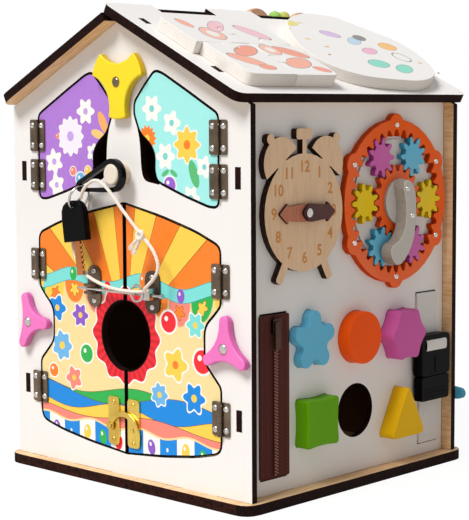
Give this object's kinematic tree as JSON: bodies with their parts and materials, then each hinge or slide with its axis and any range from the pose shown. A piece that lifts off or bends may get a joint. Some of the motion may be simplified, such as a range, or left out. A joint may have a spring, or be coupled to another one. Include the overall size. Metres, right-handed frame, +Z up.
{
  "type": "activity house",
  "caption": "Wooden activity house for small children, with doors, latches, a clock, planetary gears, a shape sorter, a zip, a buckle and a block puzzle.",
  "frame": {"origin": "centre of the base's underside", "axes": "+Z up, -Y towards the front gable with the doors, +X towards the wall with the clock and gears"},
  "size_m": [0.3154, 0.3195, 0.4205],
  "materials": {
    "white_ply": "satin",
    "bare_ply": "matt",
    "yellow_paint": "gloss",
    "pink_paint": "gloss",
    "purple_print": "satin",
    "turquoise_print": "satin",
    "orange_print": "satin",
    "bronze": "antique",
    "steel": "satin",
    "brass": "polished",
    "black_plastic": "satin",
    "cord": "woven",
    "dark_stain": "satin",
    "red_stain": "satin",
    "orange_paint": "satin",
    "magenta_paint": "satin",
    "blue_paint": "satin",
    "gold_paint": "satin",
    "green_paint": "satin",
    "grey_paint": "satin",
    "brown_cloth": "woven",
    "webbing": "woven"
  },
  "bodies": {
    "house": {"base_plate": "white_ply", "front_wall": "white_ply", "back_wall": "white_ply", "right_wall": "white_ply", "left_wall": "white_ply", "right_roof": "white_ply", "left_roof": "white_ply", "lower_left_hinge_high": "bronze", "lower_left_hinge_low": "bronze", "upper_left_hinge_high": "bronze", "upper_left_hinge_low": "bronze", "lower_right_hinge_high": "bronze", "lower_right_hinge_low": "bronze", "upper_right_hinge_high": "bronze", "upper_right_hinge_low": "bronze", "key_peg": "bare_ply", "clock_face": "bare_ply", "gear_ring": "orange_paint", "zip_tape": "brown_cloth", "buckle_socket": "black_plastic", "lower_strap": "webbing", "roof_board": "white_ply"},
    "upper_left_door": {"upper_left_door": "purple_print"},
    "upper_right_door": {"upper_right_door": "turquoise_print"},
    "lower_left_door": {"lower_left_door": "orange_print", "rod_keeper_plate": "bronze", "brass_hook_plate": "brass"},
    "lower_right_door": {"lower_right_door": "orange_print", "rod_guide_plate": "bronze", "brass_catch_plate": "brass"},
    "key_set": {"key_ring": "black_plastic", "key": "black_plastic", "key_cord": "cord"},
    "latch_rod": {"latch_rod": "steel"},
    "brass_hook": {"brass_hook": "brass"},
    "star_turn_button": {"star_turn_button": "yellow_paint"},
    "left_turn_knob": {"left_turn_knob": "pink_paint"},
    "right_turn_knob": {"right_turn_knob": "pink_paint"},
    "hour_hand": {"hour_hand": "red_stain"},
    "minute_hand": {"minute_hand": "dark_stain"},
    "sun": {"sun_gear": "grey_paint", "crank_handle": "grey_paint"},
    "planet_carrier": {"planet_carrier": "white_ply"},
    "planet_gear_1": {"planet_gear_1": "gold_paint"},
    "planet_gear_2": {"planet_gear_2": "blue_paint"},
    "planet_gear_3": {"planet_gear_3": "magenta_paint"},
    "planet_gear_4": {"planet_gear_4": "gold_paint"},
    "planet_gear_5": {"planet_gear_5": "blue_paint"},
    "planet_gear_6": {"planet_gear_6": "magenta_paint"},
    "star_block": {"star_block": "blue_paint"},
    "round_block": {"round_block": "orange_paint"},
    "hexagon_block": {"hexagon_block": "magenta_paint"},
    "square_block": {"square_block": "green_paint"},
    "triangle_block": {"triangle_block": "gold_paint"},
    "zip_slider": {"zip_slider": "brown_cloth"},
    "buckle_plug": {"buckle_plug": "black_plastic"},
    "puzzle_piece_low_front": {"puzzle_piece_low_front": "white_ply"},
    "puzzle_piece_low_back": {"puzzle_piece_low_back": "white_ply"},
    "puzzle_piece_high_back": {"puzzle_piece_high_back": "white_ply"},
    "puzzle_piece_high_front": {"puzzle_piece_high_front": "white_ply"}
  },
  "joints": [
    {"name": "upper_left_door_swing", "type": "hinge", "parent": "house", "child": "upper_left_door", "pos_m": [-0.115, -0.1425, 0.288], "axis": [0, 0, -1], "range_deg": [0, 110]},
    {"name": "upper_right_door_swing", "type": "hinge", "parent": "house", "child": "upper_right_door", "pos_m": [0.115, -0.1425, 0.288], "axis": [0, 0, 1], "range_deg": [0, 110]},
    {"name": "lower_right_door_swing", "type": "hinge", "parent": "house", "child": "lower_right_door", "pos_m": [0.1165, -0.1425, 0.132], "axis": [0, 0, 1], "range_deg": [0, 105]},
    {"name": "lower_left_door_swing", "type": "hinge", "parent": "house", "child": "lower_left_door", "pos_m": [-0.1165, -0.1425, 0.132], "axis": [0, 0, -1], "range_deg": [0, 105]},
    {"name": "star_button_turn", "type": "hinge", "parent": "house", "child": "star_turn_button", "pos_m": [0, -0.144, 0.353], "axis": [0, -1, 0], "continuous": true},
    {"name": "left_knob_turn", "type": "hinge", "parent": "house", "child": "left_turn_knob", "pos_m": [-0.1255, -0.144, 0.135], "axis": [0, -1, 0], "continuous": true},
    {"name": "right_knob_turn", "type": "hinge", "parent": "house", "child": "right_turn_knob", "pos_m": [0.1255, -0.144, 0.135], "axis": [0, -1, 0], "continuous": true},
    {"name": "key_set_lift_off", "type": "slide", "parent": "lower_right_door", "child": "key_set", "axis": [0, -1, 0], "range_m": [0, 0.03]},
    {"name": "latch_rod_slide", "type": "slide", "parent": "lower_right_door", "child": "latch_rod", "axis": [1, 0, 0], "range_m": [0, 0.045]},
    {"name": "brass_hook_turn", "type": "hinge", "parent": "lower_left_door", "child": "brass_hook", "pos_m": [-0.018, -0.143, 0.052], "axis": [0, -1, 0], "range_deg": [0, 100]},
    {"name": "hour_hand_turn", "type": "hinge", "parent": "house", "child": "hour_hand", "pos_m": [0.147, -0.0693, 0.243], "axis": [1, 0, 0], "continuous": true},
    {"name": "minute_hand_turn", "type": "hinge", "parent": "house", "child": "minute_hand", "pos_m": [0.147, -0.0693, 0.243], "axis": [1, 0, 0], "continuous": true},
    {"name": "crank_turn", "type": "hinge", "parent": "house", "child": "sun", "pos_m": [0.145, 0.0556, 0.2468], "axis": [1, 0, 0], "continuous": true},
    {"name": "carrier_turn", "type": "hinge", "parent": "house", "child": "planet_carrier", "pos_m": [0.14, 0.0556, 0.2468], "axis": [1, 0, 0], "continuous": true},
    {"name": "planet_gear_1_turn", "type": "hinge", "parent": "planet_carrier", "child": "planet_gear_1", "pos_m": [0.143, 0.10096, 0.2468], "axis": [1, 0, 0], "continuous": true},
    {"name": "planet_gear_2_turn", "type": "hinge", "parent": "planet_carrier", "child": "planet_gear_2", "pos_m": [0.143, 0.07828, 0.28608], "axis": [1, 0, 0], "continuous": true},
    {"name": "planet_gear_3_turn", "type": "hinge", "parent": "planet_carrier", "child": "planet_gear_3", "pos_m": [0.143, 0.03292, 0.28608], "axis": [1, 0, 0], "continuous": true},
    {"name": "planet_gear_4_turn", "type": "hinge", "parent": "planet_carrier", "child": "planet_gear_4", "pos_m": [0.143, 0.01024, 0.2468], "axis": [1, 0, 0], "continuous": true},
    {"name": "planet_gear_5_turn", "type": "hinge", "parent": "planet_carrier", "child": "planet_gear_5", "pos_m": [0.143, 0.03292, 0.20752], "axis": [1, 0, 0], "continuous": true},
    {"name": "planet_gear_6_turn", "type": "hinge", "parent": "planet_carrier", "child": "planet_gear_6", "pos_m": [0.143, 0.07828, 0.20752], "axis": [1, 0, 0], "continuous": true},
    {"name": "star_block_pull", "type": "slide", "parent": "house", "child": "star_block", "axis": [1, 0, 0], "range_m": [0, 0.03]},
    {"name": "round_block_pull", "type": "slide", "parent": "house", "child": "round_block", "axis": [1, 0, 0], "range_m": [0, 0.03]},
    {"name": "hexagon_block_pull", "type": "slide", "parent": "house", "child": "hexagon_block", "axis": [1, 0, 0], "range_m": [0, 0.03]},
    {"name": "square_block_pull", "type": "slide", "parent": "house", "child": "square_block", "axis": [1, 0, 0], "range_m": [0, 0.03]},
    {"name": "triangle_block_pull", "type": "slide", "parent": "house", "child": "triangle_block", "axis": [1, 0, 0], "range_m": [0, 0.03]},
    {"name": "zip_slider_run", "type": "slide", "parent": "house", "child": "zip_slider", "axis": [0, 0, -1], "range_m": [0, 0.107]},
    {"name": "buckle_plug_pull", "type": "slide", "parent": "house", "child": "buckle_plug", "axis": [0, 0, -1], "range_m": [0, 0.028], "deforming": ["lower_strap"]},
    {"name": "puzzle_piece_low_front_lift", "type": "slide", "parent": "house", "child": "puzzle_piece_low_front", "axis": [0.4449, 0, 0.8956], "range_m": [0, 0.02]},
    {"name": "puzzle_piece_low_back_lift", "type": "slide", "parent": "house", "child": "puzzle_piece_low_back", "axis": [0.4449, 0, 0.8956], "range_m": [0, 0.02]},
    {"name": "puzzle_piece_high_back_lift", "type": "slide", "parent": "house", "child": "puzzle_piece_high_back", "axis": [0.4449, 0, 0.8956], "range_m": [0, 0.02]},
    {"name": "puzzle_piece_high_front_lift", "type": "slide", "parent": "house", "child": "puzzle_piece_high_front", "axis": [0.4449, 0, 0.8956], "range_m": [0, 0.02]}
  ],
  "couplings": [
    {"joint": "lower_left_door_swing", "follows": "lower_right_door_swing", "ratio": 1},
    {"joint": "carrier_turn", "follows": "crank_turn", "ratio": 0.33333},
    {"joint": "planet_gear_1_turn", "follows": "crank_turn", "ratio": -1.3333},
    {"joint": "planet_gear_2_turn", "follows": "crank_turn", "ratio": -1.3333},
    {"joint": "planet_gear_3_turn", "follows": "crank_turn", "ratio": -1.3333},
    {"joint": "planet_gear_4_turn", "follows": "crank_turn", "ratio": -1.3333},
    {"joint": "planet_gear_5_turn", "follows": "crank_turn", "ratio": -1.3333},
    {"joint": "planet_gear_6_turn", "follows": "crank_turn", "ratio": -1.3333}
  ]
}
